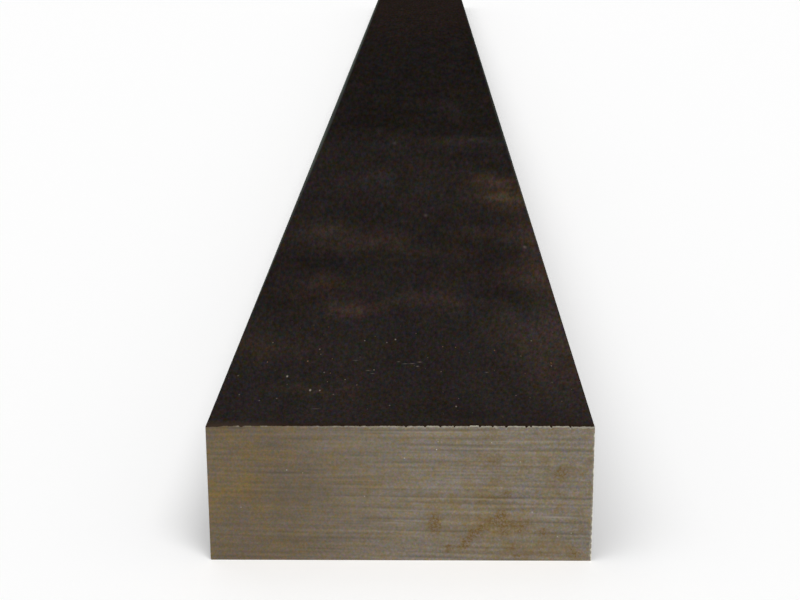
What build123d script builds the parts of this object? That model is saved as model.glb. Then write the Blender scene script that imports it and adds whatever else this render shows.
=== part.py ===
"""A cut length of hot-rolled steel flat bar, sawn square at both ends.

The bar is one piece of steel. It lies on its wide face, as it would on a rack
or a bench. The frame, in millimetres:

    origin  the middle of the underside, on the surface the bar lies on
    +X      across the width
    +Y      along the length
    +Z      up, through the thickness
"""

import os

from build123d import *

# ---- Driving dimensions (mm) ----
# The section is a trade size, 3/4 x 2 in, and the bar is cut to 3 ft.
bar_width = 50.8
bar_thickness = 19.05
bar_length = 914.4

# The finishing pass squeezes the section between two rolls and two edging
# rolls, so the four long arrises come out crisp but never quite sharp. The
# edges of the sawn ends are left as the blade leaves them: square, with no
# chamfer.
arris_radius = 0.15

# ---- The bar ----
with BuildPart() as flat_bar:
    # The section stands on the ground plane, centred on X.
    with BuildSketch(Plane.XZ):
        Rectangle(bar_width, bar_thickness, align=(Align.CENTER, Align.MIN))
    # It runs half the length each way, so the origin stays at mid-length.
    extrude(amount=bar_length / 2, both=True)

    long_arrises = flat_bar.edges().filter_by(Axis.Y)
    fillet(long_arrises, radius=arris_radius)

flat_bar.part.label = "flat_bar"

# ---- Export ----
os.makedirs("parts", exist_ok=True)
export_step(flat_bar.part, "parts/flat_bar.step")
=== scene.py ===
import bisect
import math
import random

import bmesh
import bpy
from mathutils import Matrix, Vector, noise


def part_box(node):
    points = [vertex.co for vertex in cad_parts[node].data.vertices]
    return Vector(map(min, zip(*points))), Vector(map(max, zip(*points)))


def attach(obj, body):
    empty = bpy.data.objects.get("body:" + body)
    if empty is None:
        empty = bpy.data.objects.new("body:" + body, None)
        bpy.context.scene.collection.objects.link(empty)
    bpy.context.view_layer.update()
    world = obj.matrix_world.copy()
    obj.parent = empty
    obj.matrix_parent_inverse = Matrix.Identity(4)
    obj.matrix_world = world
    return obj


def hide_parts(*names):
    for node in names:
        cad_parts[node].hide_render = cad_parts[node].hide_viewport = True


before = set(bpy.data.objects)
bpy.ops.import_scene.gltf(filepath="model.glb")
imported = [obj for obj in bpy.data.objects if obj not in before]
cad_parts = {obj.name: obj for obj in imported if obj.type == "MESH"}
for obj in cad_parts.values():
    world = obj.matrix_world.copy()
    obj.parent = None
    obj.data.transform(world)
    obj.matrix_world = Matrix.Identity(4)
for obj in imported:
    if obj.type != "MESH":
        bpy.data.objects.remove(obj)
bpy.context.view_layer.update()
barLow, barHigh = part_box("flat_bar")
print("frame loaded")

# The bar is worked out in millimetres and brought to metres at the end.
barShape = {
    "width": (barHigh.x - barLow.x) * 1000,
    "length": (barHigh.y - barLow.y) * 1000,
    "thickness": (barHigh.z - barLow.z) * 1000,
    "arris": 0.15,                  # the corner that the rolls leave along the bar
    "arrisSegments": 4,
    "endBands": (0.1, 0.3, 1.5),    # how far behind each sawn end the skin is divided
}
halfWidth = barShape["width"] / 2
halfLength = barShape["length"] / 2
thickness = barShape["thickness"]
frontY = -halfLength

# The blade sinks a little at each pass, and each pass is a shallow groove, deepest along its foot.
sawCut = {
    "feed": (0.68, 0.9),            # how far the blade sinks at each pass
    "rowsPerPass": 4,
    "firstPass": -0.95,             # passes lean, so the lowest starts below the left corner
    "overTop": 0.2,                 # and the highest starts at least this far over the top
    "lean": math.tan(math.radians(1.8)),    # of the lowest passes, which fall to the right
    "firstColumn": 0.2,             # from the left corner
    "lastColumn": 0.1,              # least distance from the right corner
    "column": 0.5,
    "grooveDepth": (0.032, 0.048),
    "grooveCurve": 1.4,             # how fast a groove runs out above its foot
    "lightPass": 0.7,               # every other pass cuts this share as deep
    "fade": (0.55, 0.75),           # a pass keeps this share of its depth, and gains or loses up to this
    "fadeLength": 9,
    "leastFade": 0.1,
    "leftShare": 0.6,               # passes die out a little towards the left corner
    "toothMark": 0.004,
    "toothLength": 1.2,
    "toothPitch": 0.12,
    "wander": 0.02,                 # how far the whole cut drifts in and out
    "wanderLength": 15,
    "wanderHeight": 6,
}

# The blade leaves the cut at the top and at the right, and pushes a ragged lip over those two edges.
burrShape = {
    "band": 18.45,                  # what is higher than this moves with the top edge
    "firstColumn": 0.3,
    "column": 0.17,
    "columnSpread": (0.7, 1.3),
    "level": -0.09,                 # where the top edge lies before swell and grit lift it
    "swell": 0.24,
    "swellLength": 0.55,
    "leftSwell": 0.4,               # share of the swell that is left at the left corner
    "grit": 0.075,
    "gritLength": 0.22,
    "burrGrit": (0.4, 0.9),         # a burr keeps this share of its height, and grit adds up to this
    "notchDepth": 0.15,
    "wornLeft": (-20.5, 0.035),     # from here to the left corner the top edge falls away at this slope
    "wornRight": (22.0, 0.4),       # and from here to the right one at this slope
    "wornDrop": 0.08,               # until it is this much lower
    "lipBulge": 0.06,               # how far the lip leans out of the cut at most
    "lipHeight": 0.4,
    "lipLength": 0.6,
    "lipLean": 0.4,                 # and how much further for each mm that the burr is tall
    "sideGrit": 0.07,
    "sideLength": 0.35,
    "sideFlare": 0.04,              # the right edge stands out further towards its foot
    "strayGap": (0.8, 4),           # between the burrs that chance gives the back end
    "strayWide": (0.4, 1.6),
    "strayHeight": (0.06, 0.16),
    "strayEnd": 3,                  # none starts nearer than this to the right corner
}
# Where the burr stands tallest along the top edge of the front end: from, to, height.
frontBurrs = [
    (-23.3, -22.5, 0.1), (-21.8, -21.0, 0.08), (-20.4, -19.4, 0.04), (-18.2, -17.2, 0.05),
    (-11.4, -10.8, 0.03), (-8.5, -8.0, 0.06), (-6.9, -5.9, 0.04), (-2.3, -1.7, 0.07), (-1.3, -0.6, 0.06),
    (1.1, 1.8, 0.05), (2.0, 2.9, 0.05), (3.5, 3.8, 0.15), (3.8, 5.1, 0.09), (5.5, 6.2, 0.05),
    (6.4, 7.0, 0.08), (7.3, 8.6, 0.04), (9.2, 10.3, 0.17), (10.8, 11.3, 0.04), (11.3, 11.8, 0.09),
    (12.4, 13.6, 0.04), (14.1, 14.4, 0.09), (14.8, 15.2, 0.11), (15.3, 16.2, 0.06), (16.7, 17.0, 0.08),
    (17.2, 17.6, 0.11), (18.0, 19.4, 0.04), (20.0, 21.6, 0.05), (22.4, 22.9, 0.05), (23.7, 25.3, 0.03),
]
# Where it has broken away: middle, half width.
frontNotches = [
    (-23.9, 0.2), (-20.7, 0.15), (0.85, 0.12), (3.3, 0.15), (5.3, 0.12), (7.1, 0.12), (10.5, 0.15),
    (12.1, 0.15), (13.9, 0.1), (16.45, 0.12), (17.1, 0.08), (19.7, 0.12), (22.15, 0.15),
]


def cutAlong(bm, faces, planes):
    # Planes come in order, and each cuts only what lies beyond the one before.
    beyond = list(faces)
    passed = []
    for point, normal in planes:
        geom = set(beyond)
        for face in beyond:
            geom.update(face.edges)
            geom.update(face.verts)
        cut = bmesh.ops.bisect_plane(bm, geom=list(geom), plane_co=point, plane_no=normal, dist=1e-5)
        pieces = [g for g in cut["geom"] if isinstance(g, bmesh.types.BMFace)]
        beyond = [f for f in pieces if (f.calc_center_median() - point).dot(normal) > 0]
        passed += [f for f in pieces if (f.calc_center_median() - point).dot(normal) <= 0]
    return passed + beyond


def passHeights(rng):
    heights = [sawCut["firstPass"]]
    while heights[-1] < thickness + sawCut["overTop"]:
        heights.append(heights[-1] + rng.uniform(*sawCut["feed"]))
    return heights


def passPlane(height):
    # The lowest passes lean most and the top one is level.
    slope = sawCut["lean"] * (1 - height / thickness)
    return Vector((0, 0, height)), Vector((slope, 0, 1)).normalized()


def passAt(x, z):
    # The height at which the pass through this place crosses the middle of the end.
    return (z + x * sawCut["lean"]) / (1 + x * sawCut["lean"] / thickness)


def uprightPlane(x):
    return Vector((x, 0, 0)), Vector((1, 0, 0))


def columnPlanes(first, nextWidth):
    planes = []
    x = -halfWidth + first
    while x < halfWidth - sawCut["lastColumn"]:
        planes.append(uprightPlane(x))
        x += nextWidth()
    return planes


def ripple(seed, x=0, lengthX=1, z=0, lengthZ=1):
    # Smooth noise from 0 to 1, with the length of its waves along x and z.
    return 0.5 + 0.5 * noise.noise(Vector((x / lengthX, z / lengthZ, seed)))


def passDepth(x, level, seed, heights, depths):
    index = min(max(bisect.bisect_right(heights, level + 1e-4) - 1, 0), len(heights) - 2)
    along = (level - heights[index]) / (heights[index + 1] - heights[index])
    share, spread = sawCut["fade"]
    # A step of 3.7 in the noise keeps one pass from fading where its neighbour does.
    fade = max(share + spread * noise.noise(Vector((x / sawCut["fadeLength"], index * 3.7, seed))),
               sawCut["leastFade"])
    middle = (1 + sawCut["leftShare"]) / 2
    fromLeft = middle + (1 - middle) * x / halfWidth
    return depths[index] * fade * fromLeft * (1 - along) ** sawCut["grooveCurve"]


def topLift(x, seed, burrs, notches):
    for middle, wide in notches:
        if abs(x - middle) < wide:
            return -burrShape["notchDepth"]
    grit = ripple(seed + 20, x, burrShape["gritLength"])
    leftSwell = burrShape["leftSwell"]
    share = leftSwell + (1 - leftSwell) * (x + halfWidth) / barShape["width"]
    swell = share * burrShape["swell"] * ripple(seed + 24, x, burrShape["swellLength"])
    lift = burrShape["level"] + swell + burrShape["grit"] * grit
    least, gain = burrShape["burrGrit"]
    for start, end, height in burrs:
        if start <= x <= end:
            lift = max(lift, height * (least + gain * grit))
    left, leftSlope = burrShape["wornLeft"]
    right, rightSlope = burrShape["wornRight"]
    return lift - leftSlope * max(0, left - x) - min(rightSlope * max(0, x - right), burrShape["wornDrop"])


def sideLift(z, seed):
    grit = ripple(seed + 20, z=z, lengthZ=burrShape["gritLength"])
    rag = burrShape["sideGrit"] * grit * ripple(seed + 31, z=z, lengthZ=burrShape["sideLength"])
    return rag + burrShape["sideFlare"] * (1 - z / thickness)


def divideEnd(bm, endY, rng):
    # Rows of faces follow the passes, and the columns are narrow along the top, where the burr stands.
    band = barShape["endBands"][0]
    faces = [f for f in bm.faces if all(abs(v.co.y - endY) < band + 0.01 for v in f.verts)]
    heights = passHeights(rng)
    rows = []
    for low, high in zip(heights, heights[1:]):
        for row in range(sawCut["rowsPerPass"]):
            rows.append(passPlane(low + (high - low) * row / sawCut["rowsPerPass"]))
    faces = cutAlong(bm, faces, rows)
    columns = columnPlanes(sawCut["firstColumn"], lambda: sawCut["column"])
    columns.append(uprightPlane(halfWidth - barShape["arris"]))
    faces = cutAlong(bm, faces, columns)
    top = [f for f in faces if f.calc_center_median().z > burrShape["band"]]
    spread = burrShape["columnSpread"]
    narrow = columnPlanes(burrShape["firstColumn"], lambda: burrShape["column"] * rng.uniform(*spread))
    cutAlong(bm, top, narrow)
    return heights


def sawEnd(bm, side, seed, burrs, notches):
    rng = random.Random(seed)
    endY = side * halfLength
    heights = divideEnd(bm, endY, rng)
    depths = [rng.uniform(*sawCut["grooveDepth"]) for _ in heights]
    depths[::2] = [depth * sawCut["lightPass"] for depth in depths[::2]]
    band = burrShape["band"]
    # Both finishes need to know where the cut is deep and how far the top edge has moved.
    liftLayer = bm.verts.layers.float["lift"]
    scoreLayer = bm.verts.layers.float["score"]
    for vert in [v for v in bm.verts if abs(v.co.y - endY) < 1e-4]:
        x, z = vert.co.x, vert.co.z
        level = passAt(x, z)
        cut = passDepth(x, level, seed, heights, depths)
        vert[scoreLayer] = cut / sawCut["grooveDepth"][1]
        tooth = Vector((x / sawCut["toothLength"], level / sawCut["toothPitch"], seed + 9))
        cut += sawCut["toothMark"] * noise.noise(tooth)
        cut += sawCut["wander"] * ripple(seed + 4, x, sawCut["wanderLength"], z, sawCut["wanderHeight"])
        above = topLift(x, seed, burrs, notches)
        if z > band:
            vert[liftLayer] = above
            vert.co.z += above * (z - band) / (thickness - band)
        lip = max(0, 1 - (thickness - z) / burrShape["lipHeight"])
        bulge = lip * (burrShape["lipBulge"] * ripple(seed + 6, x, burrShape["lipLength"])
                       + burrShape["lipLean"] * max(above, 0))
        # The right edge is found by the bar's own skin, which meets the cut there and faces right.
        outward = sum((f.normal for f in vert.link_faces if abs(f.normal.y) < 0.5), Vector())
        outward = Vector((outward.x, 0, outward.z)).normalized()
        if outward.x > 0.7:
            vert.co += outward * sideLift(z, seed)
        vert.co.y += side * (bulge - cut)


def strayBurrs(seed):
    rng = random.Random(seed)
    burrs = []
    x = -halfWidth
    while x < halfWidth - burrShape["strayEnd"]:
        x += rng.uniform(*burrShape["strayGap"])
        wide = rng.uniform(*burrShape["strayWide"])
        burrs.append((x, x + wide, rng.uniform(*burrShape["strayHeight"])))
        x += wide
    return burrs


bakeMap = {
    "pixels": 1024,
    "margin": 4,
    "endScale": 9.4,                # pixels for each mm of a sawn end
    "longFaces": {                  # strips that each long face is laid in, and pixels for each mm of it
        "top": (3, 2.8),
        "bottom": (2, 2.0),
        "left": (2, 2.0),
        "right": (2, 2.0),
    },
}


def longFaceName(normal):
    if abs(normal.z) > abs(normal.x):
        return "top" if normal.z > 0 else "bottom"
    return "right" if normal.x > 0 else "left"


def layUv(bm):
    # Strips of the long faces lie one above another, and both sawn ends side by side above them.
    uv = bm.loops.layers.uv.new("OFBake")
    size = bakeMap["pixels"]
    margin = bakeMap["margin"]
    endScale = bakeMap["endScale"]
    bases = {}
    endBase = margin
    for name, (count, scale) in bakeMap["longFaces"].items():
        tall = barShape["width"] if name in ("top", "bottom") else thickness
        for strip in range(count):
            bases[name, strip] = endBase
            endBase += math.ceil(tall * scale) + margin
    for face in bm.faces:
        middle = face.calc_center_median()
        if face.material_index == 1:
            start = margin if middle.y < 0 else margin * 2 + barShape["width"] * endScale
            for loop in face.loops:
                u = start + (loop.vert.co.x + halfWidth) * endScale
                v = endBase + loop.vert.co.z * endScale
                loop[uv].uv = (u / size, v / size)
            continue
        name = longFaceName(face.normal)
        count, scale = bakeMap["longFaces"][name]
        stripLength = barShape["length"] / count
        strip = min(int((middle.y + halfLength) / stripLength), count - 1)
        for loop in face.loops:
            along = loop.vert.co.y + halfLength - strip * stripLength
            across = loop.vert.co.x + halfWidth if name in ("top", "bottom") else loop.vert.co.z
            u = margin + along * scale
            v = bases[name, strip] + across * scale
            loop[uv].uv = (u / size, v / size)
    print("bake map rows end at", round(endBase + thickness * endScale + margin), "of", size)


def makeBar():
    bm = bmesh.new()
    bm.verts.layers.float.new("lift")
    bm.verts.layers.float.new("score")
    bmesh.ops.create_cube(bm, size=1.0)
    bmesh.ops.scale(bm, vec=(barShape["width"], barShape["length"], thickness), verts=bm.verts)
    bmesh.ops.translate(bm, vec=(0, 0, thickness / 2), verts=bm.verts)
    longEdges = [e for e in bm.edges if abs(e.verts[0].co.y - e.verts[1].co.y) > 1]
    bmesh.ops.bevel(bm, geom=longEdges, offset=barShape["arris"], offset_type="OFFSET", affect="EDGES",
                    segments=barShape["arrisSegments"], profile=0.5, material=-1)
    # Cut where a strip of the bake map ends, in thirds and halves, and behind each sawn end.
    cuts = [-halfLength / 3, 0, halfLength / 3]
    for back in barShape["endBands"]:
        cuts += [halfLength - back, back - halfLength]
    for y in cuts:
        bmesh.ops.bisect_plane(bm, geom=bm.verts[:] + bm.edges[:] + bm.faces[:],
                               plane_co=(0, y, 0), plane_no=(0, 1, 0), dist=1e-5)
    bm.normal_update()
    for face in bm.faces:
        sawn = abs(face.normal.y) > 0.9
        face.material_index = 1 if sawn else 0
        face.smooth = sawn or max(abs(face.normal.x), abs(face.normal.z)) < 0.9999
    sawEnd(bm, -1, 3, frontBurrs, frontNotches)
    sawEnd(bm, 1, 5, strayBurrs(11), [])
    bm.normal_update()
    for edge in bm.edges:
        finishes = {f.material_index for f in edge.link_faces}
        edge.smooth = len(finishes) == 1
    layUv(bm)
    bmesh.ops.scale(bm, vec=(0.001, 0.001, 0.001), verts=bm.verts)
    mesh = bpy.data.meshes.new("flat_bar_steel")
    bm.to_mesh(mesh)
    bm.free()
    bar = bpy.data.objects.new("flat_bar_steel", mesh)
    bpy.context.scene.collection.objects.link(bar)
    triangles = sum(len(p.vertices) - 2 for p in mesh.polygons)
    print("bar made,", triangles, "triangles")
    return bar


def hexColour(text):
    channels = [int(text[i:i + 2], 16) / 255 for i in (1, 3, 5)]
    linear = [c / 12.92 if c <= 0.04045 else ((c + 0.055) / 1.055) ** 2.4 for c in channels]
    return (*linear, 1.0)


def addNode(tree, kind, inputs=None, out=0, **settings):
    # Inputs go by name, or by number where several share one: in MapRange 1 and 2 are from, 3 and 4 to.
    node = tree.nodes.new("ShaderNode" + kind)
    for name, value in settings.items():
        setattr(node, name, value)
    for name, value in (inputs or {}).items():
        if isinstance(value, bpy.types.NodeSocket):
            tree.links.new(value, node.inputs[name])
        else:
            node.inputs[name].default_value = value
    return node.outputs[out]


def newMaterial(name):
    material = bpy.data.materials.new(name)
    material.use_nodes = True
    tree = material.node_tree
    return material, tree, tree.nodes["Principled BSDF"]


def inMillimetres(tree):
    place = addNode(tree, "Mapping", {
        "Vector": addNode(tree, "TexCoord", out="Object"), "Scale": (1000, 1000, 1000),
    })
    return place, addNode(tree, "SeparateXYZ", {"Vector": place}).node.outputs


def softSpots(tree, place, spots):
    # Each spot is a centre in mm, its half widths along x, y and z, and its strength.
    total = 0.0
    for centre, radii, strength in spots:
        moved = addNode(tree, "Mapping", {
            "Vector": place, "Location": centre, "Scale": radii,
        }, vector_type="TEXTURE")
        ball = addNode(tree, "TexGradient", {"Vector": moved}, "Fac", gradient_type="QUADRATIC_SPHERE")
        total = addNode(tree, "Math", {0: ball, 1: strength, 2: total}, operation="MULTIPLY_ADD")
    return total


def layOver(tree, base, layers):
    # Each colour goes over what is below it, where its mask says.
    for mask, colour in layers:
        base = addNode(tree, "Mix", {0: mask, 6: base, 7: hexColour(colour)}, 2, data_type="RGBA")
    return base


def colourGrain(tree, base, grain, amounts):
    # Moves red, green and blue apart by the three channels of a noise.
    shift = addNode(tree, "VectorMath", {0: grain, 1: (0.5, 0.5, 0.5)}, operation="SUBTRACT")
    shift = addNode(tree, "VectorMath", {0: shift, 1: amounts, 2: (1, 1, 1)}, operation="MULTIPLY_ADD")
    shift = addNode(tree, "VectorMath", {0: shift, 1: (0, 0, 0)}, operation="MAXIMUM")
    return addNode(tree, "VectorMath", {0: base, 1: shift}, operation="MULTIPLY")


def behindEnd(start, stop):
    # The part of the bar between two distances behind the front end, for a MapRange.
    return {1: frontY + start, 2: frontY + stop}


def onTop(patches):
    # A patch reaches 6 mm down the sides.
    return [((x, frontY + back, thickness), (wide, long, 6), strength)
            for x, back, wide, long, strength in patches]


def onFrontEnd(spots):
    # A spot reaches 3 mm in from the cut, much deeper than any groove.
    return [((x, frontY, height), (wide, 3, tall), strength) for x, height, wide, tall, strength in spots]


scaleLook = {
    "near": "#272220",              # bare scale from the front end backwards; the darker colours further back are painted shade
    "middle": "#241f1d",
    "middleFrom": (40, 80),         # mm behind the front end, between which the colour takes over
    "far": "#1d1917",
    "farFrom": (218, 252),
    "farEnd": "#231c19",
    "farEndFrom": (450, 650),
    "rust": "#4b3b30",
    "pale": "#423a35",
    "dark": "#181413",
    "drift": "#45382f",
    # painted highlight along the rolled corners
    "cornerHighlight": "#5c655f",
    "burnt": "#2a1d12",
    "browned": "#4a3e36",
    "gritWarm": "#94602f",
    "gritCool": "#958f85",
    "lint": "#aca094",
    "cloudScale": 0.12,             # clouds 8 mm wide
    "streakScale": (1.1, 0.014, 1.1),       # rolling streaks 1 mm wide and 70 mm long
    "mottleScale": (0.11, 0.06, 0.11),      # blotches 9 mm wide and 17 mm long
    "driftScale": (0.045, 0.011, 0.07),     # damp's drifts 22 mm wide, 90 mm long and 14 mm high
    "driftStart": 1.5,              # they set in over this much of the side
    "mostDrift": 0.75,
    "wanderScale": 0.2,
    "wander": (9, 14, 0),           # how far a patch is pulled out of round
    "grainScale": 2.2,              # grains 0.4 mm wide at the sawn ends
    "coarseScale": 2.0,
    "grainDoubles": 40,             # the grain is drawn twice as long this far from a sawn end
    "grainRun": 18.0,               # the more, the shorter it is everywhere
    "grainWide": 0.66,
    "grainWidens": 0.2,             # what its width gains at a sawn end, and again every grainDoubles
    "grainColour": (1.65, 1.03, 2.5),       # how far the grain moves red, green and blue apart
    "grainShade": 0.27,             # and how far the coarse grain darkens and lightens them
    "mottleColour": (0.4, 0.2, 0.45),
    "cloudShade": 0.12,
    "streakShade": 0.04,
    "mostPatch": 0.9,               # even the thickest rust lets some scale through
    "lintGain": 1.35,               # each loose bit is this much stronger than its own strength says
    "gritCell": (0.5, 0.16, 0.5),   # one cell is 2 mm wide and 6 mm long
    "gritSize": (0.015, 0.06),      # share of its cell
    "gritFrom": (3, 14),            # grit gathers and thins out between these distances behind the end
    "gritTo": (55, 38),
    "mostGrit": 0.5,
    "highlightOver": (40, 260),        # the painted highlight lines widen over this stretch
    "highlightLeft": (0.15, 1.3, 0.9),     # their width before and after it, and their strength
    "highlightRight": (0.1, 0.8, 0.5),
    "heated": 0.3,                  # mm behind a sawn end that the cut's heat browned most
    "burntTo": 1.6,                 # and how far back it reached
    "mostBurnt": 0.7,
    "brownedTo": 2.2,
    "mostBrowned": 0.38,
    "brownedCorner": (-14, -20),    # paler brown comes in from here to here
}
# Patches on the top: x, mm behind the front end, half width, half length, strength.
rustPatches = [
    (20, 148, 15, 22, 0.9), (21, 167, 16, 18, 0.6), (-17, 115, 15, 13, 0.3), (-7, 106, 17, 16, 0.5),
    (14, 112, 9, 12, 0.3), (6, 96, 13, 12, 0.25), (24, 80, 10, 26, 0.7), (-15, 70, 11, 17, 0.4),
    (-8, 57, 10, 9, 0.7), (8, 62, 12, 16, 0.2), (-20, 34, 12, 12, 0.3), (-14, 15, 12, 4, 0.3),
    (25, 20, 17, 34, 0.35), (25, 110, 10, 60, 0.4), (25, 50, 10, 26, 0.5), (23, 150, 10, 10, 0.4),
]
palePatches = [
    (22, 44, 14, 24, 0.55), (23, 29, 14, 22, 0.35), (23, 9, 12, 14, 0.25), (13, 225, 26, 12, 0.35),
    (1, 62, 11, 12, 0.3), (-2, 172, 26, 36, 0.2), (22, 106, 7, 14, 0.4), (12, 290, 24, 60, 0.15),
]
darkPatches = [
    (15, 201, 20, 13, 0.7), (-17, 88, 17, 18, 0.8), (17, 92, 11, 12, 0.45), (15, 65, 8, 8, 0.6),
    (-21, 60, 10, 16, 0.7), (-9, 132, 22, 14, 0.4), (21, 262, 16, 22, 0.5), (-14, 262, 16, 26, 0.5),
    (-20, 235, 12, 14, 0.4), (-18, 300, 16, 50, 0.4), (4, 8, 14, 14, 0.4), (9, 6, 8, 8, 0.4),
    (-18, 48, 9, 10, 0.3),
]
# Bits of grit and lint lying on the top, same order.
looseBits = [
    (-12.75, 14.4, 0.24, 0.8, 0.75), (-16.5, 20.5, 0.24, 0.8, 0.7), (-11.4, 14.3, 0.2, 0.6, 0.5),
    (-1.3, 38.6, 0.22, 0.7, 0.5), (7.5, 7.7, 0.2, 0.5, 0.45), (-12.7, 33.5, 0.2, 0.6, 0.35),
    (-11.3, 22.3, 0.2, 0.5, 0.3), (-2.6, 37, 0.2, 0.6, 0.3), (19.7, 38, 0.2, 0.6, 0.3),
    (-23.6, 20.8, 0.2, 0.5, 0.25), (-19.4, 10, 0.2, 0.4, 0.25), (-17.1, 10.9, 0.2, 0.4, 0.25),
    (-9.4, 12.6, 0.2, 0.4, 0.25), (-1.5, 8.1, 0.2, 0.4, 0.25), (0.4, 26.4, 0.7, 0.4, 0.16),
    (1.4, 26.5, 0.7, 0.4, 0.2), (2.2, 25.2, 0.4, 0.5, 0.25), (2.5, 27.2, 0.6, 0.5, 0.2),
    (-0.6, 27.4, 0.4, 0.4, 0.16), (-5, 23.2, 0.6, 0.4, 0.16), (-4.3, 21.8, 0.6, 0.4, 0.14),
    (-7.0, 28, 0.8, 0.4, 0.12), (12.2, 22.4, 0.5, 0.4, 0.16), (-11.4, 6.7, 1.0, 0.4, 0.1),
    (22.6, 100, 0.6, 2.2, 0.15), (3.4, 129, 0.7, 3, 0.08), (-5, 221, 1.0, 6, 0.06),
]


def bareScale(tree, y, cloud, warped):
    # Scale is painted darker away from the front end, as painted shade where the light falls off, with rust,
    # pale bloom and dark skin in patches on the top.
    look = scaleLook
    base = addNode(tree, "Mix", {
        0: addNode(tree, "MapRange", {
            0: y, **behindEnd(*look["middleFrom"]),
        }, interpolation_type="SMOOTHSTEP"),
        6: hexColour(look["near"]), 7: hexColour(look["middle"]),
    }, 2, data_type="RGBA")
    warpedY = addNode(tree, "SeparateXYZ", {"Vector": warped}, "Y")
    base = layOver(tree, base, [
        (addNode(tree, "MapRange", {0: warpedY, **behindEnd(*look["farFrom"])}), look["far"]),
        (addNode(tree, "MapRange", {0: y, **behindEnd(*look["farEndFrom"])}), look["farEnd"]),
    ])
    broken = addNode(tree, "MapRange", {0: cloud, 1: 0.3, 2: 0.65, 3: 0.4, 4: 1.0})
    for patches, colour in ((darkPatches, "dark"), (palePatches, "pale"), (rustPatches, "rust")):
        mask = softSpots(tree, warped, onTop(patches))
        mask = addNode(tree, "Math", {0: mask, 1: broken}, operation="MULTIPLY")
        mask = addNode(tree, "Math", {0: mask, 1: look["mostPatch"]}, operation="MINIMUM")
        base = layOver(tree, base, [(mask, look[colour])])
    return base


def dampDrifts(tree, place, z):
    # The narrow sides and the underside have stood nearer the damp: brown comes through in long drifts.
    below = addNode(tree, "MapRange", {0: z, 1: thickness, 2: thickness - scaleLook["driftStart"]})
    drifts = addNode(tree, "Mapping", {"Vector": place, "Scale": scaleLook["driftScale"]})
    drifts = addNode(tree, "TexNoise", {"Vector": drifts, "Scale": 1.0, "Detail": 4.0, "Roughness": 0.65})
    drifts = addNode(tree, "MapRange", {0: drifts, 1: 0.42, 2: 0.68, 3: 0.0, 4: scaleLook["mostDrift"]})
    return addNode(tree, "Math", {0: drifts, 1: below}, operation="MULTIPLY")


def grainPlace(tree, x, y, z):
    # The grain is too fine to show far from the sawn ends, so it is drawn longer and wider there.
    look = scaleLook
    away = addNode(tree, "Math", {0: y}, operation="ABSOLUTE")
    away = addNode(tree, "MapRange", {
        0: away, 1: halfLength, 2: halfLength - look["grainDoubles"], 3: 1.0, 4: 2.0,
    }, clamp=False)
    along = addNode(tree, "Math", {0: away, 1: math.e}, operation="LOGARITHM")
    along = addNode(tree, "Math", {0: along, 1: look["grainRun"]}, operation="MULTIPLY")
    wide = addNode(tree, "Math", {
        0: away, 1: look["grainWidens"], 2: look["grainWide"],
    }, operation="MULTIPLY_ADD")
    across = addNode(tree, "Math", {0: x, 1: wide}, operation="DIVIDE")
    upward = addNode(tree, "Math", {0: z, 1: wide}, operation="DIVIDE")
    return addNode(tree, "CombineXYZ", {"X": across, "Y": along, "Z": upward})


def looseGrit(tree, place, y, z):
    # Grit on the top's first fifty millimetres, one bit in each chosen cell, warm or cool.
    look = scaleLook
    cells = addNode(tree, "Mapping", {"Vector": place, "Scale": look["gritCell"]})
    cells = addNode(tree, "TexVoronoi", {"Vector": cells, "Scale": 1.0}, voronoi_dimensions="2D").node
    chosen = addNode(tree, "SeparateColor", {"Color": cells.outputs["Color"]}).node
    smallest, largest = look["gritSize"]
    size = addNode(tree, "MapRange", {0: chosen.outputs[2], 3: smallest, 4: largest})
    grit = addNode(tree, "Math", {0: size, 1: cells.outputs["Distance"]}, operation="SUBTRACT")
    grit = addNode(tree, "MapRange", {0: grit, 1: 0.0, 2: 0.02})
    for share in (
        addNode(tree, "MapRange", {0: chosen.outputs[0], 1: 0.5, 2: 1.0, 3: 0.0, 4: look["mostGrit"]}),
        addNode(tree, "MapRange", {0: y, **behindEnd(*look["gritTo"])}),
        addNode(tree, "MapRange", {0: y, **behindEnd(*look["gritFrom"]), 3: 0.2, 4: 1.0}),
        addNode(tree, "MapRange", {0: z, 1: thickness - 0.1, 2: thickness - 0.05}),
    ):
        grit = addNode(tree, "Math", {0: grit, 1: share}, operation="MULTIPLY")
    colour = addNode(tree, "Mix", {
        0: chosen.outputs[1], 6: hexColour(look["gritWarm"]), 7: hexColour(look["gritCool"]),
    }, 2, data_type="RGBA")
    return grit, colour


def paintedCornerHighlights(tree, x, y, z, streak):
    # Painted highlight: the rolled corners are painted a lighter grey-green where they would catch the
    # light, more on the left.
    fromMiddle = addNode(tree, "Math", {0: z, 1: thickness / 2}, operation="SUBTRACT")
    fromMiddle = addNode(tree, "Math", {0: fromMiddle}, operation="ABSOLUTE")
    fromFace = addNode(tree, "Math", {0: fromMiddle, 1: -1.0, 2: thickness / 2}, operation="MULTIPLY_ADD")
    broken = addNode(tree, "MapRange", {0: streak, 1: 0.35, 2: 0.6, 3: 0.5, 4: 1.0})
    layers = []
    for side, line in ((-1, "highlightLeft"), (1, "highlightRight")):
        nearWide, farWide, strength = scaleLook[line]
        inset = addNode(tree, "Math", {0: x, 1: -side, 2: halfWidth}, operation="MULTIPLY_ADD")
        inset = addNode(tree, "Math", {0: inset, 1: fromFace}, operation="ADD")
        wide = addNode(tree, "MapRange", {
            0: y, **behindEnd(*scaleLook["highlightOver"]), 3: nearWide, 4: farWide,
        })
        highlight = addNode(tree, "Math", {0: inset, 1: wide}, operation="DIVIDE")
        highlight = addNode(tree, "MapRange", {0: highlight, 1: 1.0, 2: 0.0, 3: 0.0, 4: strength})
        highlight = addNode(tree, "Math", {0: highlight, 1: broken}, operation="MULTIPLY")
        layers.append((highlight, scaleLook["cornerHighlight"]))
    return layers


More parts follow.
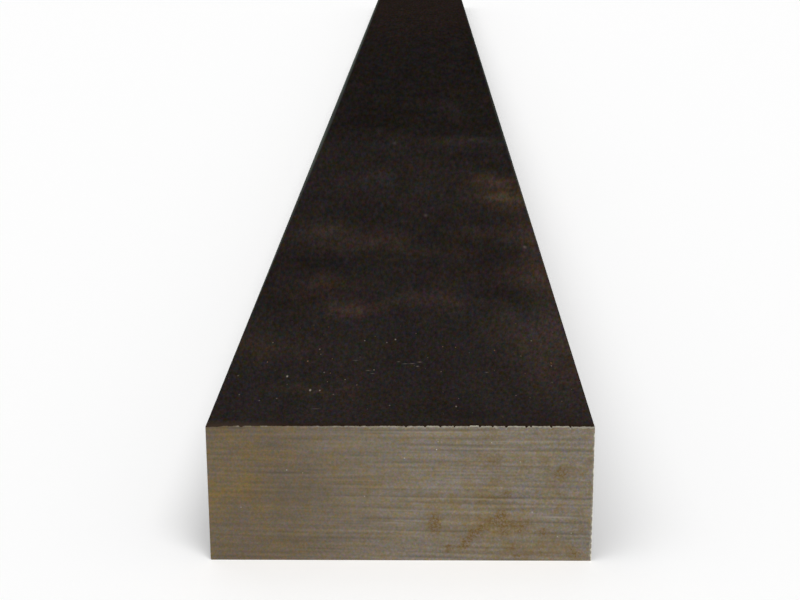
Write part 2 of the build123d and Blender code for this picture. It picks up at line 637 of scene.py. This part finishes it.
def heatedEnds(tree, x, y):
    # The cut has browned a thin line of scale at each end, paler towards the left corner.
    look = scaleLook
    fromMiddle = addNode(tree, "Math", {0: y}, operation="ABSOLUTE")
    burnt = addNode(tree, "MapRange", {
        0: fromMiddle, 1: halfLength - look["burntTo"], 2: halfLength - look["heated"],
        3: 0.0, 4: look["mostBurnt"],
    })
    browned = addNode(tree, "MapRange", {
        0: fromMiddle, 1: halfLength - look["brownedTo"], 2: halfLength - look["heated"],
        3: 0.0, 4: look["mostBrowned"],
    })
    start, stop = look["brownedCorner"]
    corner = addNode(tree, "MapRange", {0: x, 1: start, 2: stop})
    browned = addNode(tree, "Math", {0: browned, 1: corner}, operation="MULTIPLY")
    return [(burnt, look["burnt"]), (browned, look["browned"])]


def hotRolledScale():
    # Blue-black oxide left by hot rolling, thin and porous: it drinks light, with rust breathing through.
    material, tree, shader = newMaterial("hot-rolled mill scale")
    place, (x, y, z) = inMillimetres(tree)
    look = scaleLook
    # Everything the rolls pressed in runs along the bar, about four times longer than wide.
    rolled = addNode(tree, "Mapping", {"Vector": place, "Scale": (1, 0.25, 1)})
    cloud = addNode(tree, "TexNoise", {
        "Vector": rolled, "Scale": look["cloudScale"], "Detail": 4.0, "Roughness": 0.6,
    })
    streak = addNode(tree, "Mapping", {"Vector": place, "Scale": look["streakScale"]})
    streak = addNode(tree, "TexNoise", {"Vector": streak, "Scale": 1.0, "Detail": 3.0, "Roughness": 0.6})
    mottle = addNode(tree, "Mapping", {"Vector": place, "Scale": look["mottleScale"]})
    mottle = addNode(tree, "TexNoise", {
        "Vector": mottle, "Scale": 1.0, "Detail": 3.0, "Roughness": 0.6,
    }, "Color")
    grained = grainPlace(tree, x, y, z)
    grain = addNode(tree, "TexNoise", {
        "Vector": grained, "Scale": look["grainScale"], "Detail": 1.0, "Roughness": 0.8,
    }).node
    coarse = addNode(tree, "TexNoise", {
        "Vector": grained, "Scale": look["coarseScale"], "Detail": 2.0, "Roughness": 0.75,
    })

    # Patches are pulled out of round by a slow noise.
    wander = addNode(tree, "TexNoise", {
        "Vector": rolled, "Scale": look["wanderScale"], "Detail": 3.0,
    }, "Color")
    wander = addNode(tree, "VectorMath", {
        0: wander, 1: look["wander"], 2: [-reach / 2 for reach in look["wander"]],
    }, operation="MULTIPLY_ADD")
    warped = addNode(tree, "VectorMath", {0: place, 1: wander}, operation="ADD")
    base = bareScale(tree, y, cloud, warped)
    base = layOver(tree, base, [(dampDrifts(tree, place, z), look["drift"])])

    # Noise keeps mostly between 0.3 and 0.7.
    shade = 1.0
    for pattern, depth in ((coarse, "grainShade"), (streak, "streakShade"), (cloud, "cloudShade")):
        share = addNode(tree, "MapRange", {
            0: pattern, 1: 0.3, 2: 0.7, 3: 1 - look[depth], 4: 1 + look[depth],
        })
        shade = addNode(tree, "Math", {0: share, 1: shade}, operation="MULTIPLY")
    base = addNode(tree, "VectorMath", {0: base, 3: shade}, operation="SCALE")
    base = colourGrain(tree, base, mottle, look["mottleColour"])
    base = colourGrain(tree, base, grain.outputs["Color"], look["grainColour"])

    grit, gritColour = looseGrit(tree, place, y, z)
    base = addNode(tree, "Mix", {0: grit, 6: base, 7: gritColour}, 2, data_type="RGBA")
    lint = [(at, size, strength * look["lintGain"]) for at, size, strength in onTop(looseBits)]
    lint = softSpots(tree, place, lint)
    lint = addNode(tree, "Math", {0: lint, 1: look["mostPatch"]}, operation="MINIMUM")
    base = layOver(tree, base, [(lint, look["lint"])])
    base = layOver(tree, base, paintedCornerHighlights(tree, x, y, z, streak) + heatedEnds(tree, x, y))
    tree.links.new(base, shader.inputs["Base Color"])

    roughness = addNode(tree, "MapRange", {0: cloud, 1: 0.3, 2: 0.7, 3: 0.55, 4: 0.75})
    tree.links.new(roughness, shader.inputs["Roughness"])
    shader.inputs["Specular IOR Level"].default_value = 0.0
    height = addNode(tree, "Math", {0: grain.outputs["Fac"], 1: 0.6, 2: streak}, operation="MULTIPLY_ADD")
    bump = addNode(tree, "Bump", {"Height": height, "Strength": 0.3, "Distance": 0.00006})
    tree.links.new(bump, shader.inputs["Normal"])
    return material


steelLook = {
    # The face is painted darker and warmer at the left and lighter at the right: partly its own tone, partly
    # painted shade of a light from the right.
    "left": "#6b5f4f",
    "right": "#7e7568",
    "dark": "#564f46",
    "pale": "#a0978a",
    "ochre": "#7c6636",
    "rust": "#6c5325",
    "burr": "#9b9688",
    "bright": "#c6c4b8",
    "lip": "#b0ac9d",
    "fringe": "#dcd7c8",
    "passScale": (0.1, 1, 2.6),     # passes of the blade show as lines 10 mm long and 0.4 mm wide
    "toothScale": (0.2, 1, 7.0),    # its teeth, too fine to show, as lines 5 mm long and 0.14 mm wide
    "freckleScale": 0.55,           # freckles of handling rust, 2 mm and finer
    "tarnishScale": 0.5,            # dull patches 2 mm wide
    "poreScale": 3.1,               # pores 0.3 mm wide
    "grainScale": 2.9,              # grains 0.35 mm wide
    "grainColour": (0.8, 0.4, 1.5),     # how far the grain moves red, green and blue apart
    "raggedScale": 1.4,             # ripples of 0.7 mm at the edge of a stain
    "crowdScale": 3.5,              # pores 0.3 mm wide that hold rust
    "wornScale": 1.8,               # gaps of half a millimetre in the bright strip
    "breakScale": 2.2,              # the burr is broken every half millimetre or so
    "filmContrast": 2.4,            # how sharply the freckles stand out
    "filmStart": 1.15,
    "filmWarm": 0.55,               # what a full warm zone adds to them
    "mostFilm": 0.8,
    "mostRust": 0.95,
    "toothShare": 0.5,              # of a pass's own light and dark
    "scoreLevel": 0.6,
    "scoreShade": 0.72,
    "scoreContrast": (0.34, 0.64),  # at the left and at the right
    "poreShade": (0.07, 0.17),
    "tarnishShade": 0.08,
    "speckWide": 0.13,
    "stripWhole": (20, 22.5),       # the bright strip is unbroken to the right of here
    "stripFrom": (-18, 4),          # and comes in from the left over this stretch
    "lipTall": (0.02, 0.12),        # a burr as tall as this shows its lip
    "fringeFrom": 9,                # height below which the fringe widens
    "fringeWide": (-0.05, 0.03),
}
# Rust on the front end: x, height, half width, half height, strength.
rustSpots = [
    (4.6, 5.1, 1.4, 2.4, 2.2), (4.7, 6.4, 2.2, 3.0, 0.6), (8.4, 2.1, 1.8, 1.3, 1.5),
    (8.9, 3.0, 1.4, 1.3, 1.5), (9.8, 3.9, 1.8, 1.5, 1.7), (10.9, 4.7, 1.8, 1.4, 1.5),
    (12.2, 5.7, 2.0, 1.5, 1.1), (13.4, 6.4, 1.6, 1.8, 1.3), (13.6, 5.0, 2.2, 2.0, 1.1),
    (15.2, 5.4, 2.4, 1.8, 0.9), (16.2, 4.5, 1.8, 1.6, 1.3), (17.0, 5.7, 2.0, 1.3, 0.8),
    (18.8, 4.2, 2.4, 1.1, 1.2), (13.8, 4.0, 2.2, 1.2, 0.8), (6.5, 1.8, 1.0, 0.9, 1.6),
    (13.4, 7.5, 1.5, 0.9, 0.5), (12.6, 9.1, 2.8, 0.8, 1.0), (14.0, 9.7, 1.0, 0.9, 1.4),
    (12.0, 14.4, 3.0, 1.8, 0.7), (13.0, 13.6, 1.2, 2.8, 0.5), (19.3, 14.1, 1.1, 2.4, 0.8),
    (21.2, 12.8, 1.7, 1.3, 1.3), (21.0, 12.4, 3.0, 2.0, 0.5), (13.2, 11.2, 3.0, 1.4, 0.35),
    (20.8, 10.0, 3.0, 1.6, 0.2), (11.5, 17.6, 2.6, 1.2, 0.4), (21.4, 11.8, 1.5, 1.0, 0.4),
    (18.3, 9.9, 1.3, 1.0, 0.7), (21.3, 9.4, 1.6, 1.0, 0.7), (21.2, 7.3, 1.2, 1.0, 0.5),
    (24.1, 6.9, 1.0, 1.2, 0.4), (24.2, 4.7, 0.9, 1.4, 0.6), (14.8, 1.9, 1.8, 1.2, 1.0),
    (15.6, 0.7, 1.7, 0.8, 0.8), (18.6, 2.6, 1.6, 1.1, 0.8), (18.0, 1.0, 8.0, 1.5, 0.5),
    (21.6, 1.5, 1.5, 1.0, 0.3), (23.2, 1.1, 2.2, 1.5, 1.1), (12.2, 18.3, 1.2, 0.6, 0.6),
    (19.8, 18.4, 1.2, 0.6, 0.6), (8.1, 18.4, 0.8, 0.5, 0.8), (10.7, 18.4, 0.7, 0.5, 0.8),
    (0.7, 17.4, 0.6, 0.9, 0.5), (-3.5, 5.9, 2.6, 1.6, 0.45), (4.4, 9.2, 1.0, 0.7, 0.5),
    (22.6, 17.6, 1.6, 0.9, 0.4),
]
# Where handling has turned the cut face ochre, same order.
warmZones = [
    (-24.0, 9.2, 5.0, 5.0, 0.75), (-20.2, 10.8, 7.0, 7.0, 0.7), (-19.9, 15.2, 5.0, 3.6, 0.55),
    (-23.3, 17.9, 4.0, 2.4, 0.5), (20.0, 12.0, 7.0, 6.0, 0.3), (12.0, 5.0, 10.0, 7.0, 0.55),
    (19.0, 1.5, 9.0, 3.5, 0.5), (12.0, 15.0, 7.0, 4.0, 0.3), (-3.0, 11.0, 8.0, 7.0, 0.5),
    (6.0, 8.0, 9.0, 5.0, 0.5), (11.0, 9.5, 5.0, 4.0, 0.5),
]
# Single scores and smudges that stand out: middle x, height, half length, half height, strength.
darkScoresAndLipShadow = [
    (-14, 9.8, 12, 6, 0.3), (-15.7, 3.2, 3, 0.9, 0.3), (7, 16.5, 18, 0.25, 0.35),
    (-16.5, 12.3, 8, 0.3, 0.5), (-3, 10.2, 17, 0.25, 0.45), (0, 9.2, 15, 0.2, 0.35),
    (4, 8.45, 12, 0.2, 0.35), (-6.5, 5.1, 9, 0.25, 0.5), (16, 5.95, 10, 0.25, 0.4),
    (-12, 2.9, 13, 0.6, 0.5), (-9, 1.0, 20, 0.4, 0.3), (9, 11.9, 13, 0.25, 0.4),
    (14, 13.6, 13, 0.25, 0.4), (3, 15.4, 20, 0.2, 0.3), (8, 14.2, 14, 0.2, 0.3), (5, 17.4, 20, 0.2, 0.4),
    # The long lines at 18.45 and 18.58 mm, just under the burr's lip, are painted shadow of the lip, not
    # scores.
    (0, 18.45, 28, 0.25, 0.6), (10, 18.58, 13, 0.2, 0.55), (-21.5, 18.75, 5, 0.4, 0.6),
]
paleScores = [
    (1, 7.2, 12, 0.2, 0.35), (20.5, 6.7, 6.5, 0.25, 0.8), (-1, 5.4, 5, 0.25, 0.5), (13, 16.0, 12, 0.2, 0.4),
    (12, 9.0, 14, 0.2, 0.3), (10, 12.6, 14, 0.2, 0.3), (14, 17.0, 12, 0.2, 0.3), (5, 18.2, 17, 0.3, 0.35),
]
# Bright grains of metal: x, height, strength.
brightSpecks = [
    (4.8, 15.8, 2.0), (0.6, 14.6, 1.2), (12, 16.8, 1.0), (5, 16.9, 0.8), (15.8, 14.1, 0.8), (17.5, 7.0, 0.8),
    (22.7, 4.0, 1.0), (20.9, 3.5, 0.8), (-14.9, 12.9, 1.2), (-21.1, 7.6, 0.8), (-12.8, 12.5, 0.6),
    (-4.7, 9.2, 0.8),
]


def alongPasses(tree, x, y, z):
    # The same lean as the cut itself: see passAt.
    upper = addNode(tree, "Math", {0: x, 1: sawCut["lean"], 2: z}, operation="MULTIPLY_ADD")
    lower = addNode(tree, "Math", {0: x, 1: sawCut["lean"] / thickness, 2: 1.0}, operation="MULTIPLY_ADD")
    level = addNode(tree, "Math", {0: upper, 1: lower}, operation="DIVIDE")
    return addNode(tree, "CombineXYZ", {"X": x, "Y": y, "Z": level})


def handlingFilm(tree, place):
    # A film of freckles, thick where hands have been and nearly whole at the left.
    look = steelLook
    freckle = addNode(tree, "TexNoise", {
        "Vector": place, "Scale": look["freckleScale"], "Detail": 4.0, "Roughness": 0.85,
    })
    warm = softSpots(tree, place, onFrontEnd(warmZones))
    film = addNode(tree, "Math", {
        0: freckle, 1: look["filmContrast"], 2: -look["filmStart"],
    }, operation="MULTIPLY_ADD")
    film = addNode(tree, "Math", {
        0: warm, 1: look["filmWarm"], 2: film,
    }, operation="MULTIPLY_ADD", use_clamp=True)
    return addNode(tree, "Math", {0: film, 1: look["mostFilm"]}, operation="MINIMUM")


def scoredShade(tree, place, x, passes, teeth):
    # Painted shade: the foot of each pass, where the blade bit deepest, is painted darker, as the shade in
    # the groove; passes and teeth add lighter and darker lines. Scores are plainer on the right.
    look = steelLook
    score = addNode(tree, "Attribute", out="Fac", attribute_name="score")
    left, right = look["scoreContrast"]
    contrast = addNode(tree, "MapRange", {0: x, 1: -24, 2: 2, 3: left, 4: right})
    shade = addNode(tree, "Math", {0: teeth, 1: look["toothShare"], 2: passes}, operation="MULTIPLY_ADD")
    shade = addNode(tree, "Math", {0: shade, 1: score}, operation="SUBTRACT")
    shade = addNode(tree, "Math", {0: shade, 1: look["scoreLevel"]}, operation="SUBTRACT")
    shade = addNode(tree, "Math", {0: shade, 1: contrast}, operation="MULTIPLY")
    shade = addNode(tree, "Math", {0: shade, 1: look["scoreShade"], 2: 1.0}, operation="MULTIPLY_ADD")
    pores = addNode(tree, "TexNoise", {
        "Vector": place, "Scale": look["poreScale"], "Detail": 2.0, "Roughness": 0.8,
    })
    left, right = look["poreShade"]
    pitted = addNode(tree, "Math", {
        0: addNode(tree, "MapRange", {0: pores, 1: 0.3, 2: 0.7, 3: -1.0, 4: 1.0}),
        1: addNode(tree, "MapRange", {0: x, 1: -22, 2: 16, 3: left, 4: right}), 2: 1.0,
    }, operation="MULTIPLY_ADD")
    tarnish = addNode(tree, "TexNoise", {
        "Vector": place, "Scale": look["tarnishScale"], "Detail": 4.0, "Roughness": 0.8,
    })
    tarnish = addNode(tree, "MapRange", {
        0: tarnish, 1: 0.3, 2: 0.7, 3: 1 - look["tarnishShade"], 4: 1 + look["tarnishShade"],
    })
    for patchy in (pitted, tarnish):
        shade = addNode(tree, "Math", {0: shade, 1: patchy}, operation="MULTIPLY")
    return shade


def porousRust(tree, place):
    # Rust stands in the pores, so a stain is soft at its edge and specked all through.
    ragged = addNode(tree, "TexNoise", {
        "Vector": place, "Scale": steelLook["raggedScale"], "Detail": 2.0,
    }, "Color")
    ragged = addNode(tree, "VectorMath", {0: ragged, 1: (2, 0, 2), 2: (-1, 0, -1)}, operation="MULTIPLY_ADD")
    ragged = addNode(tree, "VectorMath", {0: place, 1: ragged}, operation="ADD")
    rust = softSpots(tree, ragged, onFrontEnd(rustSpots))
    rust = addNode(tree, "Math", {0: rust, 1: steelLook["mostRust"]}, operation="MINIMUM")
    crowd = addNode(tree, "TexNoise", {
        "Vector": place, "Scale": steelLook["crowdScale"], "Detail": 2.0, "Roughness": 0.7,
    })
    crowd = addNode(tree, "MapRange", {0: crowd, 1: 0.38, 2: 0.62, 3: 0.15, 4: 1.0})
    return addNode(tree, "Math", {0: rust, 1: crowd}, operation="MULTIPLY")


def cleanBurr(tree, place, x, z):
    # The burr is the one clean, bright metal: a broken strip under the top edge, and a ragged fringe
    # down the right one that widens towards the foot.
    look = steelLook
    breakUp = addNode(tree, "TexNoise", {"Vector": place, "Scale": look["breakScale"], "Detail": 1.0})
    worn = addNode(tree, "TexNoise", {
        "Vector": place, "Scale": look["wornScale"], "Detail": 2.0, "Roughness": 0.7,
    })
    lift = addNode(tree, "Attribute", out="Fac", attribute_name="lift")
    above = addNode(tree, "Math", {0: z, 1: lift}, operation="SUBTRACT")
    strip = addNode(tree, "Math", {0: breakUp, 1: 0.5, 2: above}, operation="MULTIPLY_ADD")
    strip = addNode(tree, "MapRange", {0: strip, 1: thickness - 0.06, 2: thickness + 0.04})
    start, stop = look["stripWhole"]
    whole = addNode(tree, "Math", {
        0: addNode(tree, "MapRange", {0: worn, 1: 0.4, 2: 0.6, 3: 0.1, 4: 1.0}),
        1: addNode(tree, "MapRange", {0: x, 1: start, 2: stop, 3: 0.0, 4: 0.95}),
    }, operation="MAXIMUM")
    start, stop = look["stripFrom"]
    for share in (whole, addNode(tree, "MapRange", {0: x, 1: start, 2: stop, 3: 0.0, 4: 0.9})):
        strip = addNode(tree, "Math", {0: strip, 1: share}, operation="MULTIPLY")
    low, tall = look["lipTall"]
    lip = addNode(tree, "Math", {
        0: addNode(tree, "MapRange", {0: lift, 1: low, 2: tall, 3: 0.0, 4: 0.9}),
        1: addNode(tree, "MapRange", {0: above, 1: thickness - 0.25, 2: thickness - 0.12}),
    }, operation="MULTIPLY")
    edge = addNode(tree, "Math", {0: breakUp, 1: 0.6, 2: x}, operation="MULTIPLY_ADD")
    thin, wide = look["fringeWide"]
    wider = addNode(tree, "MapRange", {0: z, 1: look["fringeFrom"], 2: 0, 3: thin, 4: wide})
    edge = addNode(tree, "Math", {0: edge, 1: wider}, operation="ADD")
    halo = addNode(tree, "MapRange", {0: edge, 1: halfWidth + 0.02, 2: halfWidth + 0.22, 3: 0.0, 4: 0.6})
    fringe = addNode(tree, "MapRange", {0: edge, 1: halfWidth + 0.26, 2: halfWidth + 0.34, 3: 0.0, 4: 0.9})
    return [(strip, look["burr"]), (halo, look["burr"]), (lip, look["lip"]), (fringe, look["fringe"])]


def bandSawnSteel():
    # Steel sawn square and gone dull: fine scores across the face under a freckled film of handling rust.
    material, tree, shader = newMaterial("band-sawn steel")
    place, (x, y, z) = inMillimetres(tree)
    look = steelLook
    scored = alongPasses(tree, x, y, z)
    passes = addNode(tree, "Mapping", {"Vector": scored, "Scale": look["passScale"]})
    passes = addNode(tree, "TexNoise", {"Vector": passes, "Scale": 1.0, "Detail": 0.0})
    teeth = addNode(tree, "Mapping", {"Vector": scored, "Scale": look["toothScale"]})
    teeth = addNode(tree, "TexNoise", {"Vector": teeth, "Scale": 1.0, "Detail": 2.0})
    grain = addNode(tree, "TexNoise", {
        "Vector": place, "Scale": look["grainScale"], "Detail": 1.0, "Roughness": 0.7,
    }).node

    # Darker at the left, lighter at the right: partly the steel's tone, partly painted shade.
    base = addNode(tree, "Mix", {
        0: addNode(tree, "MapRange", {0: x, 1: -20, 2: 6}, interpolation_type="SMOOTHSTEP"),
        6: hexColour(look["left"]), 7: hexColour(look["right"]),
    }, 2, data_type="RGBA")
    base = layOver(tree, base, [(handlingFilm(tree, place), look["ochre"])])
    shade = scoredShade(tree, place, x, passes, teeth)
    base = addNode(tree, "VectorMath", {0: base, 3: shade}, operation="SCALE")
    base = colourGrain(tree, base, grain.outputs["Color"], look["grainColour"])

    wide = look["speckWide"]
    specks = [(across, up, wide, wide, strength) for across, up, strength in brightSpecks]
    specks = softSpots(tree, place, onFrontEnd(specks))
    specks = addNode(tree, "Math", {0: specks, 1: 1.0}, operation="MINIMUM")
    base = layOver(tree, base, [
        # Dark scores, and the painted shadow under the burr's lip.
        (softSpots(tree, scored, onFrontEnd(darkScoresAndLipShadow)), look["dark"]),
        (softSpots(tree, scored, onFrontEnd(paleScores)), look["pale"]),
        (porousRust(tree, place), look["rust"]),
        (specks, look["bright"]),
    ] + cleanBurr(tree, place, x, z))
    tree.links.new(base, shader.inputs["Base Color"])

    shader.inputs["Metallic"].default_value = 0.85
    roughness = addNode(tree, "MapRange", {0: teeth, 1: 0.3, 2: 0.7, 3: 0.42, 4: 0.58})
    tree.links.new(roughness, shader.inputs["Roughness"])
    # Bump only for what is finer than the grooves of the mesh.
    height = addNode(tree, "Math", {0: teeth, 1: look["toothShare"], 2: passes}, operation="MULTIPLY_ADD")
    height = addNode(tree, "Math", {0: grain.outputs["Fac"], 1: 0.3, 2: height}, operation="MULTIPLY_ADD")
    bump = addNode(tree, "Bump", {"Height": height, "Strength": 0.15, "Distance": 0.00005})
    tree.links.new(bump, shader.inputs["Normal"])
    return material


bar = makeBar()
bar.data.materials.append(hotRolledScale())
bar.data.materials.append(bandSawnSteel())
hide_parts("flat_bar")
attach(bar, "root")
print("materials made")

studio = {
    "floorColour": "#fdfdfd",
    "floorRadius": 14.0,            # metres
    "worldLevel": 0.25,             # what lights the bar
    "backdropLevel": 0.985,         # what the camera sees behind it
}
# Each soft light: the side it comes from, its strength, and how many degrees wide it is.
suns = {
    "key": ((0.25, -0.5, 1.0), 1.51, 30),
    "fill": ((-0.4, -0.35, 1.0), 0.89, 45),
    "rear": ((-0.1, 0.5, 1.0), 0.3, 45),
}
cameraPlace = {
    "lens": 67.56,                  # millimetres, as is the sensor
    "sensor": 36,
    "place": (0.00332, -0.64128, 0.08725),
    "turn": 1.0,                    # degrees, as are the next two
    "down": 15.52,
    "roll": -0.25,
}


def makeFloor():
    bm = bmesh.new()
    bmesh.ops.create_circle(bm, cap_ends=True, segments=96, radius=studio["floorRadius"])
    mesh = bpy.data.meshes.new("studio_floor")
    bm.to_mesh(mesh)
    bm.free()
    floor = bpy.data.objects.new("studio_floor", mesh)
    bpy.context.scene.collection.objects.link(floor)
    # Paper has no gloss to speak of, so the floor stays plain at a low angle.
    material, tree, shader = newMaterial("matt white paper")
    shader.inputs["Base Color"].default_value = hexColour(studio["floorColour"])
    shader.inputs["Roughness"].default_value = 0.9
    shader.inputs["Specular IOR Level"].default_value = 0.0
    mesh.materials.append(material)


def addSun(name, fromPoint, strength, softness):
    light = bpy.data.lights.new(name, "SUN")
    light.energy = strength
    light.angle = math.radians(softness)
    lamp = bpy.data.objects.new(name, light)
    lamp.matrix_world = Vector(fromPoint).to_track_quat("Z", "Y").to_matrix().to_4x4()
    bpy.context.scene.collection.objects.link(lamp)


def makeWorld():
    world = bpy.data.worlds.new("studio")
    bpy.context.scene.world = world
    world.use_nodes = True
    tree = world.node_tree
    # What the camera sees, by itself or in a reflection, is the backdrop. All other light is the world's.
    path = addNode(tree, "LightPath").node
    seen = addNode(tree, "Math", {
        0: path.outputs["Is Camera Ray"], 1: path.outputs["Is Glossy Ray"],
    }, operation="ADD")
    seen = addNode(tree, "Math", {
        0: seen, 1: path.outputs["Is Transmission Ray"],
    }, operation="ADD", use_clamp=True)
    level = addNode(tree, "MapRange", {
        "Value": seen, "To Min": studio["worldLevel"], "To Max": studio["backdropLevel"],
    })
    background = tree.nodes["Background"]
    background.inputs["Color"].default_value = (1, 1, 1, 1)
    tree.links.new(level, background.inputs["Strength"])


def makeCamera():
    data = bpy.data.cameras.new("camera")
    data.lens = cameraPlace["lens"]
    data.sensor_width = cameraPlace["sensor"]
    data.sensor_fit = "HORIZONTAL"
    data.clip_start = 0.01
    data.clip_end = 100
    camera = bpy.data.objects.new("camera", data)
    bpy.context.scene.collection.objects.link(camera)
    turn = Matrix.Rotation(math.radians(cameraPlace["turn"]), 4, "Z")
    tilt = Matrix.Rotation(math.radians(90 - cameraPlace["down"]), 4, "X")
    roll = Matrix.Rotation(math.radians(cameraPlace["roll"]), 4, "Z")
    camera.matrix_world = Matrix.Translation(cameraPlace["place"]) @ turn @ tilt @ roll
    bpy.context.scene.camera = camera


makeFloor()
makeWorld()
for sunName, (fromPoint, strength, softness) in suns.items():
    addSun(sunName, fromPoint, strength, softness)
makeCamera()
bpy.context.scene.view_settings.view_transform = "Standard"
print("studio made")
